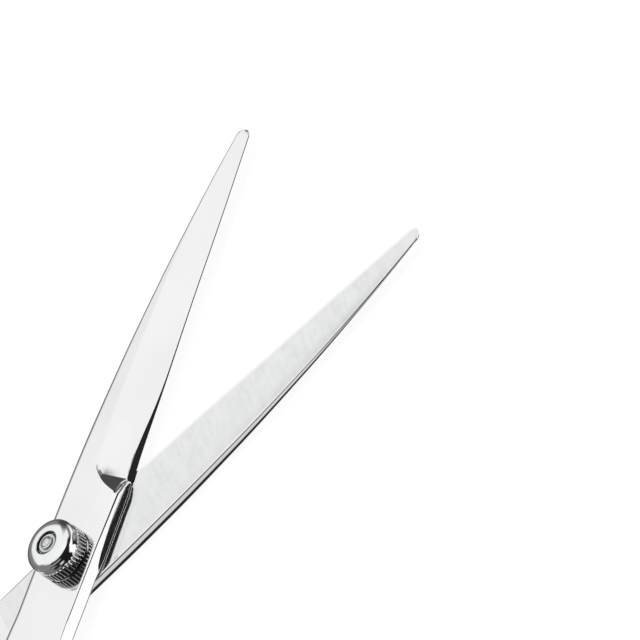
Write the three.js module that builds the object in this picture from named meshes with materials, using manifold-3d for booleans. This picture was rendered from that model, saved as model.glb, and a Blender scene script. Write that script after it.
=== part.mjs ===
// Hair cutting shears, right-handed, with a knurled tension dial on the pivot.
// Millimetres, +Z up. The pivot axis is +Z through the origin, and the origin lies on
// the flat underside of the pivot bolt's head, which is the plane the shears rest on.
// Each half is drawn closed, with its blade along +Y, and then turned by half of the
// opening: the finger half counter-clockwise, the thumb half clockwise.

import * as THREE from 'three';
import * as BufferGeometryUtils from 'three/addons/utils/BufferGeometryUtils.js';
import Module from 'manifold-3d';

const wasm = await Module();
wasm.setup();

// ---------------------------------------------------------------- driving dimensions
const OPENING = 37.3;            // angle between the blades as modelled, degrees
const Z_MID = 2.55;              // plane where the two blades pass each other
const RIDE_GAP = 0.10;           // clearance between the two flat laps
const LAP_T = 2.35;              // thickness of one blade at the pivot

const HEAD_D = 8.4;              // pivot bolt
const HEAD_T = 0.80;
const HEAD_POCKET_D = 8.8;
const HEAD_POCKET_T = 0.72;
const NECK_D = 5.4;
const NECK_FLATS = 4.7;
const BOLT_D = 4.6;
const BOLT_FLATS = 4.0;
const NOSE_D = 3.0;
const BOLT_SHOULDER_Z = 7.75;
const BOLT_END_Z = 8.95;

const BUSH_OD = 6.4;             // bronze bush in the finger blade
const BUSH_ID = 4.8;
const WASHER_OD = 9.0;           // nylon ride washer in its pocket
const WASHER_ID = 5.0;
const WASHER_T = 0.30;

const PLATE_Z0 = 5.00;           // click plate, keyed to the bolt, inside the dial
const PLATE_Z1 = 5.22;
const PLATE_D = 7.2;
const KNOB_Z0 = 5.08;            // tension dial, straight on the finger blade's lap
const KNURL_Z0 = 5.28;             // the knurl starts above a plain relieved foot
const KNOB_FOOT_R = 4.0;
const KNURL_Z1 = 7.20;
const KNOB_TOP_Z = 9.20;
const KNOB_D = 8.56;
const KNURL_DEPTH = 0.20;
const KNURL_TEETH = 42;
const KNOB_BAND_R = 4.10;
const KNOB_RECESS_D = 7.5;
const KNOB_RECESS_TOP_Z = 5.55;
const KNOB_HOLE_D = 3.6;
const KNOB_BORE_D = 6.2;
const KNOB_BORE_TOP_Z = 8.02;
const INSERT_Z0 = 6.45;
const INSERT_Z1 = 7.95;

const FINGER_RING = { x: 15.0, y: -67.8 };
const THUMB_RING = { x: -17.0, y: -60.3 };
const RING_INNER_R = 11.0;
const RING_BAR_R = 1.45;         // half the bar's width across the ring
const RING_BAR_H = 2.55;         // half the bar's height along the ring's axis

const BUMPER_D = 4.5;
const BUMPER_Y = -64.7;
const BUMPER_X0 = 0.85;          // seat on the finger ring
const BUMPER_X1 = -4.10;         // face that meets the thumb ring's pad
const PAD_X = -4.25;             // flat on the thumb ring that the bumper lands on
const STUD_D = 2.0;

const half = THREE.MathUtils.degToRad(OPENING / 2);

// ---------------------------------------------------------------- solids
function solidOf(geometry) {
  const g = geometry.clone();
  for (const name of Object.keys(g.attributes)) if (name !== 'position') g.deleteAttribute(name);
  const m = BufferGeometryUtils.mergeVertices(g, 1e-5);
  return new wasm.Manifold(new wasm.Mesh({
    numProp: 3,
    vertProperties: new Float32Array(m.attributes.position.array),
    triVerts: new Uint32Array(m.index.array),
  }));
}

function geometryOf(solid) {
  const mesh = solid.getMesh();
  const g = new THREE.BufferGeometry();
  const n = mesh.numProp;
  const count = mesh.vertProperties.length / n;
  const pos = new Float32Array(count * 3);
  for (let i = 0; i < count; i++) for (let k = 0; k < 3; k++) pos[i * 3 + k] = mesh.vertProperties[i * n + k];
  g.setAttribute('position', new THREE.BufferAttribute(pos, 3));
  g.setIndex(new THREE.BufferAttribute(new Uint32Array(mesh.triVerts), 1));
  g.computeVertexNormals();
  return g;
}

// A closed skin through equal-length rings of points, with a fan over each end.
function loft(rings) {
  const n = rings[0].length;
  const pos = [];
  const idx = [];
  for (const ring of rings) for (const p of ring) pos.push(p[0], p[1], p[2]);
  for (let s = 0; s + 1 < rings.length; s++) {
    for (let k = 0; k < n; k++) {
      const a = s * n + k;
      const b = s * n + ((k + 1) % n);
      idx.push(a, b, a + n, b, b + n, a + n);
    }
  }
  for (const [s, flip] of [[0, true], [rings.length - 1, false]]) {
    const ring = rings[s];
    const c = [0, 1, 2].map((k) => ring.reduce((t, p) => t + p[k], 0) / n);
    const ci = pos.length / 3;
    pos.push(...c);
    for (let k = 0; k < n; k++) {
      const a = s * n + k;
      const b = s * n + ((k + 1) % n);
      if (flip) idx.push(ci, b, a); else idx.push(ci, a, b);
    }
  }
  let g = new THREE.BufferGeometry();
  g.setAttribute('position', new THREE.Float32BufferAttribute(pos, 3));
  g.setIndex(idx);
  // turn the skin the right way out
  let vol = 0;
  const a = new THREE.Vector3(), b = new THREE.Vector3(), c = new THREE.Vector3();
  for (let i = 0; i < idx.length; i += 3) {
    a.fromArray(pos, idx[i] * 3); b.fromArray(pos, idx[i + 1] * 3); c.fromArray(pos, idx[i + 2] * 3);
    vol += a.dot(b.cross(c));
  }
  if (vol < 0) {
    for (let i = 0; i < idx.length; i += 3) [idx[i], idx[i + 1]] = [idx[i + 1], idx[i]];
    g.setIndex(idx);
  }
  return g;
}

// A solid of revolution about Z from [radius, z] points; the profile closes on itself.
function turned(profile, sides = 40, cx = 0, cy = 0) {
  const pts = profile.map(([r, z]) => new THREE.Vector2(Math.max(r, 0), z));
  const onAxis = profile[0][0] <= 0 && profile[profile.length - 1][0] <= 0;
  if (!onAxis) pts.push(pts[0].clone());
  const g = new THREE.LatheGeometry(pts, sides);
  g.rotateX(Math.PI / 2);
  g.translate(cx, cy, 0);
  return fixWinding(g);
}

function fixWinding(g) {
  const h = BufferGeometryUtils.mergeVertices((() => {
    const q = g.clone();
    for (const name of Object.keys(q.attributes)) if (name !== 'position') q.deleteAttribute(name);
    return q;
  })(), 1e-5);
  const p = h.attributes.position.array;
  const src = h.index.array;
  const idx = [];
  let vol = 0;
  const a = new THREE.Vector3(), b = new THREE.Vector3(), c = new THREE.Vector3();
  for (let i = 0; i < src.length; i += 3) {
    const [i0, i1, i2] = [src[i], src[i + 1], src[i + 2]];
    if (i0 === i1 || i1 === i2 || i0 === i2) continue;
    idx.push(i0, i1, i2);
    a.fromArray(p, i0 * 3); b.fromArray(p, i1 * 3); c.fromArray(p, i2 * 3);
    vol += a.dot(b.cross(c));
  }
  if (vol < 0) for (let i = 0; i < idx.length; i += 3) [idx[i], idx[i + 1]] = [idx[i + 1], idx[i]];
  h.setIndex(idx);
  return h;
}

function cylinder(d, z0, z1, sides = 32, cx = 0, cy = 0) {
  return turned([[0, z0], [d / 2, z0], [d / 2, z1], [0, z1]], sides, cx, cy);
}

function prism(points, z0, z1) {
  const shape = new THREE.Shape(points.map(([x, y]) => new THREE.Vector2(x, y)));
  const g = new THREE.ExtrudeGeometry(shape, { depth: z1 - z0, bevelEnabled: false });
  g.translate(0, 0, z0);
  return fixWinding(g);
}

function box(x0, x1, y0, y1, z0, z1) {
  const g = new THREE.BoxGeometry(x1 - x0, y1 - y0, z1 - z0);
  g.translate((x0 + x1) / 2, (y0 + y1) / 2, (z0 + z1) / 2);
  return g;
}

const table = (rows) => (y) => {
  if (y <= rows[0][0]) return rows[0][1];
  for (let i = 1; i < rows.length; i++) {
    if (y <= rows[i][0]) {
      const [y0, v0] = rows[i - 1];
      const [y1, v1] = rows[i];
      return v0 + (v1 - v0) * (y - y0) / (y1 - y0);
    }
  }
  return rows[rows.length - 1][1];
};

// ---------------------------------------------------------------- blades
// One blade: spine on -X, cutting edge on +X, inner face at z = 0, outer face above it.
const spineX = table([[-14, -5.35], [0, -5.5], [15, -5.65], [30, -5.4], [45, -4.55], [52, -3.9], [58, -3.2], [64, -2.3], [68, -1.72], [69.5, -1.35], [70, -0.75]]);
const edgeX = table([[-14, 5.96], [-9, 6.05], [-4, 5.95], [0, 5.85], [6, 5.62], [10.8, 5.42], [13.3, 5.28], [15.6, 5.0], [28, 4.0], [42, 2.82], [56, 1.87], [64, 1.22], [68, 0.86], [69.5, 0.55], [70, 0.1]]);
const thick = table([[-14, 2.35], [15, 2.3], [30, 1.85], [45, 1.25], [56, 0.8], [66, 0.55], [70, 0.4]]);
const ridgeX = table([[12.5, 4.4], [14.2, 1.0], [16, -1.4], [24, -2.0], [37, -2.75], [46, -3.2], [52, -3.35], [58, -2.9], [64, -2.05], [68, -1.45], [70, -0.6]]);
const bevelW = table([[12.5, 0.3], [16, 0.66], [24, 0.4], [32, 0.2], [70, 0.1]]);

function bladeRing(y) {
  const xs = spineX(y), xe = edgeX(y), t = thick(y);
  const c = Math.min(0.3, t * 0.3);
  const onBlade = y > 12.5;
  const xr = onBlade ? Math.max(ridgeX(y), xs + c + 0.05) : xe - 0.25;
  const bw = onBlade ? bevelW(y) : 0.0;
  const bx = onBlade ? Math.min(xe - bw, xe - 0.02) : xe;
  const bz = onBlade ? Math.min(1.19 * bw, t * 0.5) : t - 0.25;
  return [
    [xs + c, y, 0], [xe - (onBlade ? 0 : 0.2), y, 0],
    [xe, y, onBlade ? 0.03 : 0.2],
    [bx, y, bz],
    [xr, y, t], [xs + c, y, t], [xs, y, t - c], [xs, y, c],
  ];
}

const bladeStations = [-14, -8, 0, 8, 12.5, 14.2, 16, 20, 24, 30, 37, 45, 52, 58, 64, 68, 69.5, 70];
const bladeBlank = () => loft(bladeStations.map(bladeRing));

function flip(g) { const q = g.clone(); q.rotateY(Math.PI); return fixWinding(q); }
function raise(g, z) { const q = g.clone(); q.translate(0, 0, z); return q; }

const FINGER_Z = Z_MID + RIDE_GAP / 2;
const THUMB_Z = Z_MID - RIDE_GAP / 2;

const fingerBlade = solidOf(raise(bladeBlank(), FINGER_Z))
  .subtract(solidOf(cylinder(BUSH_OD + 0.2, 0, 9)))
  .subtract(solidOf(cylinder(WASHER_OD + 0.2, 0, FINGER_Z + WASHER_T)));

function doubleD(d, flats, z0, z1, sides = 32) {
  return solidOf(cylinder(d, z0, z1, sides)).intersect(solidOf(box(-d, d, -flats / 2, flats / 2, z0 - 1, z1 + 1)));
}

const thumbBlade = solidOf(raise(flip(bladeBlank()), THUMB_Z))
  .subtract(doubleD(NECK_D + 0.3, NECK_FLATS + 0.3, -1, 4))
  .subtract(solidOf(cylinder(HEAD_POCKET_D, -1, 0.15 + HEAD_POCKET_T, 40)));

// ---------------------------------------------------------------- handles
// A section from its left and right plan points and its z range, rounded by e.
function shankRing(sec, n = 14) {
  const { L, R, z0, z1, e } = sec;
  const mx = (L[0] + R[0]) / 2, my = (L[1] + R[1]) / 2;
  const dx = (R[0] - L[0]) / 2, dy = (R[1] - L[1]) / 2;
  const zm = (z0 + z1) / 2, hz = (z1 - z0) / 2;
  const f = (v) => Math.sign(v) * Math.pow(Math.abs(v), e);
  const pts = [];
  for (let k = 0; k < n; k++) {
    const a = (2 * Math.PI * (k + 0.5)) / n;
    const u = f(Math.cos(a)) / f(Math.cos(Math.PI / n));
    pts.push([mx + dx * u, my + dy * u, zm + hz * f(Math.sin(a)) / (n % 4 === 2 ? 1 : f(Math.cos(Math.PI / n)))]);
  }
  return pts;
}

const B = RIDE_GAP / 2;
const sec = (L, R, z0, z1, e) => ({ L, R, z0: Z_MID + z0, z1: Z_MID + z1, e });

const WELD_Y = -14.3;
const fingerShank = loft([
  sec([-5.25, WELD_Y], [5.95, WELD_Y], B, B + LAP_T, 0.25),
  sec([-2.3, -17.9], [6.05, -17.0], B, B + LAP_T, 0.35),
  sec([0.8, -21.4], [6.4, -20.4], B, 2.4, 0.5),
  sec([2.7, -23.6], [6.9, -23.4], -0.6, 2.45, 0.7),
  sec([4.1, -25.8], [7.3, -25.8], -1.4, 2.4, 0.85),
  sec([4.95, -27.8], [7.8, -28.1], -2.0, 2.3, 1),
  sec([5.6, -31.0], [8.9, -31.6], -2.1, 2.2, 1),
  sec([5.9, -34.2], [10.6, -34.8], -2.4, 2.4, 1),
  sec([5.75, -36.2], [11.35, -36.3], -2.55, 2.55, 1),
  sec([6.3, -37.6], [10.85, -37.6], -2.2, 2.2, 1),
  sec([7.4, -41.6], [10.9, -42.0], -2.1, 2.1, 1),
  sec([8.5, -45.6], [11.7, -45.9], -2.15, 2.15, 1),
  sec([8.95, -48.8], [13.3, -48.8], -2.25, 2.25, 1),
  sec([8.6, -52.0], [16.2, -51.8], -2.35, 2.35, 1),
  sec([8.3, -55.2], [19.0, -55.4], -2.0, 2.0, 1),
].map((s) => shankRing(s)));

const thumbShank = loft([
  sec([-5.7, WELD_Y], [5.25, WELD_Y], -B - LAP_T, -B, 0.25),
  sec([-5.35, -17.0], [3.0, -18.2], -B - LAP_T, -B, 0.35),
  sec([-5.15, -20.4], [1.0, -21.4], -2.4, -B, 0.5),
  sec([-5.3, -23.0], [-0.7, -24.2], -2.45, 0.6, 0.7),
  sec([-5.75, -25.4], [-2.0, -26.2], -2.4, 1.4, 0.85),
  sec([-6.5, -27.4], [-3.0, -28.2], -2.3, 2.0, 1),
  sec([-8.0, -29.8], [-3.8, -30.8], -2.3, 2.3, 1),
  sec([-9.5, -31.8], [-4.2, -33.4], -2.55, 2.55, 1),
  sec([-9.35, -33.2], [-4.9, -34.8], -2.2, 2.2, 1),
  sec([-10.0, -36.9], [-6.9, -38.0], -2.1, 2.1, 1),
  sec([-11.3, -40.4], [-8.2, -41.2], -2.15, 2.15, 1),
  sec([-13.4, -43.5], [-9.1, -44.4], -2.25, 2.25, 1),
  sec([-15.9, -45.9], [-9.2, -46.8], -2.35, 2.35, 1),
  sec([-17.6, -48.0], [-9.4, -50.2], -2.0, 2.0, 1),
].map((s) => shankRing(s)));

function bowRing(c) {
  const r = RING_INNER_R + RING_BAR_R;
  const prof = [];
  for (let k = 0; k < 12; k++) {
    const a = (2 * Math.PI * (k + 0.5)) / 12;
    prof.push([r + RING_BAR_R * Math.cos(a) / Math.cos(Math.PI / 12), Z_MID + RING_BAR_H * Math.sin(a) / Math.sin(2 * Math.PI * 2.5 / 12)]);
  }
  return solidOf(turned(prof, 48, c.x, c.y));
}

const bowHole = (c) => solidOf(cylinder(2 * RING_INNER_R, -2, 8, 48, c.x, c.y));

const REST_ROOT = { x: 15.4, y: -81.3 };
const stubAxisX = (d, x0, x1, y) => {
  const g = cylinder(d, x0, x1, 20);
  g.rotateY(Math.PI / 2);
  g.translate(0, y, Z_MID);
  return g;
};
const stubAxisY = (d, y0, y1, x) => {
  const g = cylinder(d, y0, y1, 20);
  g.rotateX(-Math.PI / 2);
  g.translate(x, 0, Z_MID);
  return g;
};

const fingerHandle = solidOf(fingerShank)
  .subtract(bowHole(FINGER_RING))
  .add(bowRing(FINGER_RING))
  .subtract(solidOf(box(-20, 20, -90, 0, -2, 0)))
  .subtract(solidOf(stubAxisX(STUD_D + 0.3, 0, 3.2, BUMPER_Y)))
  .subtract(solidOf(box(-1, BUMPER_X0 + 0.15, BUMPER_Y - 2.6, BUMPER_Y + 2.6, -1, 7)))
  .subtract(solidOf(stubAxisY(STUD_D + 0.3, -85, -79.6, REST_ROOT.x)))
  .subtract(solidOf(box(REST_ROOT.x - 2.4, REST_ROOT.x + 2.4, -84, -81.35, -1, 7)));

// flat pad and pointed spur on the thumb ring, where the bumper lands
const padOutline = [
  [-5.0, -56.4], [-4.45, -58.5], [-4.3, -62.2], [-4.25, -67.6], [-3.55, -71.6], [-3.9, -72.25],
  [-6.3, -72.85], [-11.3, -73.7], [-11.9, -71.6], [-8.6, -69.6], [-6.2, -66.8], [-5.0, -63.2], [-4.9, -59.6], [-5.6, -57.2],
];
const thumbHandle = solidOf(thumbShank)
  .subtract(bowHole(THUMB_RING))
  .add(bowRing(THUMB_RING))
  .add(solidOf(prism(padOutline, Z_MID - 2.1, Z_MID + 2.1)))
  .subtract(solidOf(box(PAD_X, 6, -68.2, -50, -2, 8)));

// ---------------------------------------------------------------- finger rest
const restPath = [
  [15.4, -81.65, 1.9], [15.5, -83.2, 1.75], [16.0, -86.2, 1.6], [17.4, -90.0, 1.55], [19.9, -93.6, 1.6],
  [23.2, -96.2, 1.7], [26.8, -97.6, 1.9], [29.6, -98.0, 2.0], [31.2, -97.9, 1.5], [31.8, -97.8, 0.6],
];
function restRings() {
  const n = 14;
  return restPath.map(([x, y, r], i) => {
    const a = restPath[Math.max(0, i - 1)], b = restPath[Math.min(restPath.length - 1, i + 1)];
    const t = i === 0 ? [0, -1] : [b[0] - a[0], b[1] - a[1]];
    const len = Math.hypot(t[0], t[1]);
    const nx = -t[1] / len, ny = t[0] / len;
    return Array.from({ length: n }, (_, k) => {
      const w = (2 * Math.PI * k) / n;
      return [x + nx * r * Math.cos(w), y + ny * r * Math.cos(w), Z_MID + r * Math.sin(w)];
    });
  });
}
const fingerRest = solidOf(loft(restRings()))
  .subtract(solidOf(stubAxisY(STUD_D + 0.3, -85.2, -81, REST_ROOT.x)));
const fingerRestStud = solidOf(stubAxisY(STUD_D, -84.8, -79.9, REST_ROOT.x));

// ---------------------------------------------------------------- bumper
function turnedX(profile, y, sides = 32) {
  const g = turned(profile, sides);
  g.rotateY(-Math.PI / 2);
  g.translate(0, y, Z_MID);
  return fixWinding(g);
}
const bx0 = -BUMPER_X0, bx1 = -BUMPER_X1;
const bumper = solidOf(turnedX([
  [0, bx0], [BUMPER_D / 2, bx0], [BUMPER_D / 2, bx0 + 1.2], [BUMPER_D / 2 - 0.25, bx0 + 1.5],
  [BUMPER_D / 2 - 0.25, bx0 + 1.9], [BUMPER_D / 2, bx0 + 2.2], [BUMPER_D / 2, bx1 - 0.7],
  [BUMPER_D / 2 - 0.5, bx1 - 0.1], [1.2, bx1], [0, bx1]], BUMPER_Y))
  .subtract(solidOf(stubAxisX(STUD_D + 0.3, -1.7, 2, BUMPER_Y)));
const bumperStud = solidOf(stubAxisX(STUD_D, -1.5, 2.9, BUMPER_Y));

// ---------------------------------------------------------------- pivot
const pivotBolt = solidOf(turned([
  [0, 0], [HEAD_D / 2 - 0.25, 0], [HEAD_D / 2, 0.25], [HEAD_D / 2, HEAD_T], [0, HEAD_T]], 48))
  .add(doubleD(NECK_D, NECK_FLATS, 0.4, 2.40))
  .add(solidOf(turned([
    [0, 2.0], [BOLT_D / 2, 2.0], [BOLT_D / 2, BOLT_SHOULDER_Z - 0.2], [BOLT_D / 2 - 0.2, BOLT_SHOULDER_Z],
    [NOSE_D / 2, BOLT_SHOULDER_Z], [NOSE_D / 2, BOLT_END_Z - 0.15], [NOSE_D / 2 - 0.15, BOLT_END_Z], [0, BOLT_END_Z]], 32)))
  .subtract(solidOf(box(-4, 4, BOLT_FLATS / 2, 4, 4.85, 5.35)))
  .subtract(solidOf(box(-4, 4, -4, -BOLT_FLATS / 2, 4.85, 5.35)))
  .subtract(solidOf(cylinder(1.7, 5.7, 11, 20)));

const lockScrew = solidOf(turned([
  [0, 6.0], [0.6, 6.0], [0.75, 6.15], [0.75, 8.98], [1.02, 8.98], [1.02, 9.15], [0.9, 9.31], [0.6, 9.42], [0, 9.46]], 24));

const pivotBush = solidOf(turned([
  [BUSH_ID / 2, FINGER_Z + WASHER_T + 0.03], [BUSH_OD / 2, FINGER_Z + WASHER_T + 0.03],
  [BUSH_OD / 2, FINGER_Z + LAP_T - 0.03], [BUSH_ID / 2, FINGER_Z + LAP_T - 0.03]], 32));

const rideWasher = solidOf(turned([
  [WASHER_ID / 2, THUMB_Z + 0.03], [WASHER_OD / 2, THUMB_Z + 0.03],
  [WASHER_OD / 2, FINGER_Z + WASHER_T - 0.03], [WASHER_ID / 2, FINGER_Z + WASHER_T - 0.03]], 40));

// knurled outline with small V grooves
function knurl(d, depth, teeth) {
  const pts = [];
  for (let k = 0; k < teeth; k++) {
    const a = (2 * Math.PI * k) / teeth;
    const b = (2 * Math.PI * (k + 0.5)) / teeth;
    pts.push([(d / 2) * Math.cos(a), (d / 2) * Math.sin(a)]);
    pts.push([(d / 2 - depth) * Math.cos(b), (d / 2 - depth) * Math.sin(b)]);
  }
  return pts;
}

const clickPlate = solidOf(cylinder(PLATE_D, PLATE_Z0, PLATE_Z1, 48))
  .subtract(doubleD(BOLT_D + 0.24, BOLT_FLATS + 0.24, PLATE_Z0 - 1, PLATE_Z1 + 1));

// wavy ring that clicks between the dial and the plate below it
function waveRing(rIn, rOut, z0, z1, t, waves, sides = 48) {
  const rings = [];
  const mid = (z0 + z1) / 2, amp = (z1 - z0 - t) / 2;
  const pos = [], idx = [];
  for (let s = 0; s < sides; s++) {
    const a = (2 * Math.PI * s) / sides;
    const z = mid + amp * Math.cos(waves * a);
    for (const [r, h] of [[rIn, -t / 2], [rOut, -t / 2], [rOut, t / 2], [rIn, t / 2]]) pos.push(r * Math.cos(a), r * Math.sin(a), z + h);
  }
  for (let s = 0; s < sides; s++) {
    const q = (s + 1) % sides;
    for (let k = 0; k < 4; k++) {
      const a = s * 4 + k, b = s * 4 + ((k + 1) % 4), c = q * 4 + k, d = q * 4 + ((k + 1) % 4);
      idx.push(a, b, c, b, d, c);
    }
  }
  const g = new THREE.BufferGeometry();
  g.setAttribute('position', new THREE.Float32BufferAttribute(pos, 3));
  g.setIndex(idx);
  return solidOf(fixWinding(g));
}
const clickSpring = waveRing(3.15, 3.55, PLATE_Z1 + 0.03, KNOB_RECESS_TOP_Z - 0.03, 0.12, 6);

const disc = (z, up) => solidOf(turned(up
  ? [[2.45, z + 0.28], [3.0, z], [3.0, z + 0.16], [2.45, z + 0.44]]
  : [[2.45, z], [3.0, z + 0.28], [3.0, z + 0.44], [2.45, z + 0.16]], 32));
const discLower = disc(5.25, true);
const discUpper = disc(5.79, false);

// rounded shoulder between the plain band and the flat top, radius and height
const SHOULDER = [
  [4.2, KNURL_Z1], [4.2, 7.9], [4.14, 8.24], [3.97, 8.55], [3.7, 8.82], [3.35, 9.03], [2.94, 9.16], [2.5, KNOB_TOP_Z]];
const knob = solidOf(prism(knurl(KNOB_D, KNURL_DEPTH, KNURL_TEETH), KNURL_Z0, KNURL_Z1))
  .add(solidOf(cylinder(2 * KNOB_FOOT_R, KNOB_Z0, KNURL_Z0 + 0.4, 64)))
  .add(solidOf(turned([[0, KNURL_Z1 - 0.5], [KNOB_BAND_R, KNURL_Z1 - 0.5], [KNOB_BAND_R, KNURL_Z1], ...SHOULDER, [0, KNOB_TOP_Z]], 56)))
  .subtract(solidOf(cylinder(KNOB_RECESS_D, KNOB_Z0 - 1, KNOB_RECESS_TOP_Z, 48)))
  .subtract(solidOf(cylinder(KNOB_BORE_D, KNOB_Z0 - 1, KNOB_BORE_TOP_Z, 40)))
  .subtract(solidOf(cylinder(KNOB_HOLE_D, KNOB_Z0, KNOB_TOP_Z + 1, 40)));

const insert = solidOf(turned([
  [BOLT_D / 2 + 0.08, INSERT_Z0], [KNOB_BORE_D / 2 - 0.08, INSERT_Z0],
  [KNOB_BORE_D / 2 - 0.08, INSERT_Z1], [BOLT_D / 2 + 0.08, INSERT_Z1]], 32));

// ---------------------------------------------------------------- scene graph
const steel = () => new THREE.MeshStandardMaterial({ color: 0xe2e4e6, metalness: 1, roughness: 0.12 });
const satin = () => new THREE.MeshStandardMaterial({ color: 0xd2d4d6, metalness: 1, roughness: 0.3 });
const chrome = () => new THREE.MeshStandardMaterial({ color: 0xe8e9ea, metalness: 1, roughness: 0.06 });
const spring = () => new THREE.MeshStandardMaterial({ color: 0x9a9a98, metalness: 1, roughness: 0.35 });
const brass = () => new THREE.MeshStandardMaterial({ color: 0xc9a24a, metalness: 1, roughness: 0.3 });
const nylon = () => new THREE.MeshStandardMaterial({ color: 0xe9e6dc, metalness: 0, roughness: 0.5 });
const rubber = () => new THREE.MeshStandardMaterial({ color: 0x2b2b2d, metalness: 0, roughness: 0.75 });

function piece(name, solid, material) {
  const mesh = new THREE.Mesh(geometryOf(solid), material);
  mesh.name = name;
  return mesh;
}

const fingerHalf = new THREE.Group();
fingerHalf.rotation.z = half;
fingerHalf.add(
  piece('finger_blade', fingerBlade, steel()),
  piece('finger_handle', fingerHandle, steel()),
  piece('finger_rest', fingerRest, steel()),
  piece('finger_rest_stud', fingerRestStud, satin()),
  piece('bumper', bumper, rubber()),
  piece('bumper_stud', bumperStud, satin()),
  piece('pivot_bush', pivotBush, brass()),
  piece('ride_washer', rideWasher, nylon()),
);

const thumbHalf = new THREE.Group();
thumbHalf.rotation.z = -half;
thumbHalf.add(
  piece('thumb_blade', thumbBlade, satin()),
  piece('thumb_handle', thumbHandle, steel()),
  piece('pivot_bolt', pivotBolt, steel()),
  piece('click_plate', clickPlate, satin()),
  piece('click_spring', clickSpring, spring()),
  piece('disc_spring_lower', discLower, spring()),
  piece('disc_spring_upper', discUpper, spring()),
  piece('lock_screw', lockScrew, satin()),
);

const dial = new THREE.Group();
dial.rotation.z = -half;
dial.add(
  piece('tension_knob', knob, chrome()),
  piece('knob_insert', insert, brass()),
);
thumbHalf.updateMatrixWorld(true);

const shears = new THREE.Group();
shears.name = 'hair_cutting_shears';
shears.add(fingerHalf, thumbHalf, dial);

export default shears;
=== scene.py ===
# Hair cutting shears: the looks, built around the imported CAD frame.
import math
import bpy
import bmesh
import numpy as np
from mathutils import Matrix, Vector


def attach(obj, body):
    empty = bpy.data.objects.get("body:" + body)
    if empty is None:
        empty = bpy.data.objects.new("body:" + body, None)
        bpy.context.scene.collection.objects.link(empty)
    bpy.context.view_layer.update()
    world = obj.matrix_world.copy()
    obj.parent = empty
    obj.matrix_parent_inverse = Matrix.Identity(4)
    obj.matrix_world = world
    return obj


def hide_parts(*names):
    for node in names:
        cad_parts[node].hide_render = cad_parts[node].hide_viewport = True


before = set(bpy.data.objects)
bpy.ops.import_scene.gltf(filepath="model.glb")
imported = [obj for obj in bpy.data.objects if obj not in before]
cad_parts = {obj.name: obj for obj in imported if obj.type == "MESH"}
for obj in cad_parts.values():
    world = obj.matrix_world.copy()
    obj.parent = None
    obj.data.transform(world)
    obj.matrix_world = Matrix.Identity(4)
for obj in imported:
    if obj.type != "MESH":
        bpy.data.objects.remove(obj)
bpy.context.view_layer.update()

# ------------------------------------------------------------------ numbers shared with the CAD
MM = 0.001
HALF = math.radians(37.3 / 2)
Z_MID, GAP, LAP_T = 2.55, 0.10, 2.35
FINGER_Z, THUMB_Z = Z_MID + GAP / 2, Z_MID - GAP / 2
FINGER_RING, THUMB_RING = (15.0, -67.8), (-17.0, -60.3)
WELD_Y = -14.15
GRID = 0.34          # spacing of the handles' mesh


# ------------------------------------------------------------------ small maths
def pchip(rows):
    x = np.array([r[0] for r in rows], float)
    y = np.array([r[1] for r in rows], float)
    h, m = np.diff(x), np.zeros(len(x))
    d = np.diff(y) / h
    for i in range(1, len(x) - 1):
        if d[i - 1] * d[i] > 0:
            w1, w2 = 2 * h[i] + h[i - 1], h[i] + 2 * h[i - 1]
            m[i] = (w1 + w2) / (w1 / d[i - 1] + w2 / d[i])
    m[0], m[-1] = d[0], d[-1]

    def f(q):
        q = np.clip(np.asarray(q, float), x[0], x[-1])
        i = np.clip(np.searchsorted(x, q, side="right") - 1, 0, len(h) - 1)
        t = (q - x[i]) / h[i]
        return ((1 + 2 * t) * (1 - t) ** 2 * y[i] + t * (1 - t) ** 2 * h[i] * m[i]
                + t * t * (3 - 2 * t) * y[i + 1] + t * t * (t - 1) * h[i] * m[i + 1])
    return f


def smooth(a, b, q):
    t = np.clip((np.asarray(q, float) - a) / (b - a), 0, 1)
    return t * t * (3 - 2 * t)


def smin(a, b, k):
    h = np.clip(0.5 + 0.5 * (b - a) / k, 0, 1)
    return b * (1 - h) + a * h - k * h * (1 - h)


def turn(p, a):
    q = np.array(p, float)
    c, s = math.cos(a), math.sin(a)
    q[..., 0], q[..., 1] = p[..., 0] * c - p[..., 1] * s, p[..., 0] * s + p[..., 1] * c
    return q


# ------------------------------------------------------------------ meshes
def make(name, verts_mm, faces, angle, mats, slots=None, sharp=None, weighted=True):
    v = turn(np.asarray(verts_mm, float), angle) * MM
    me = bpy.data.meshes.new(name)
    me.from_pydata(v.tolist(), [], faces)
    for m in mats:
        me.materials.append(m)
    if slots is not None:
        me.polygons.foreach_set("material_index", np.asarray(slots, np.int32))
    me.validate()
    bm = bmesh.new()
    bm.from_mesh(me)
    bmesh.ops.recalc_face_normals(bm, faces=bm.faces)
    bm.to_mesh(me)
    bm.free()
    me.shade_smooth()
    if sharp:
        me.set_sharp_from_angle(angle=math.radians(sharp))
    ob = bpy.data.objects.new(name, me)
    bpy.context.scene.collection.objects.link(ob)
    if weighted:
        w = ob.modifiers.new("face_weight", "WEIGHTED_NORMAL")
        w.keep_sharp = True
        w.weight = 80
    return ob


def grid_faces(rows, cols, close_cols=True, first=0):
    f = []
    last = cols if close_cols else cols - 1
    for k in range(rows - 1):
        for j in range(last):
            a, b = first + k * cols + j, first + k * cols + (j + 1) % cols
            f.append((a, b, b + cols, a + cols))
    return f


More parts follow.
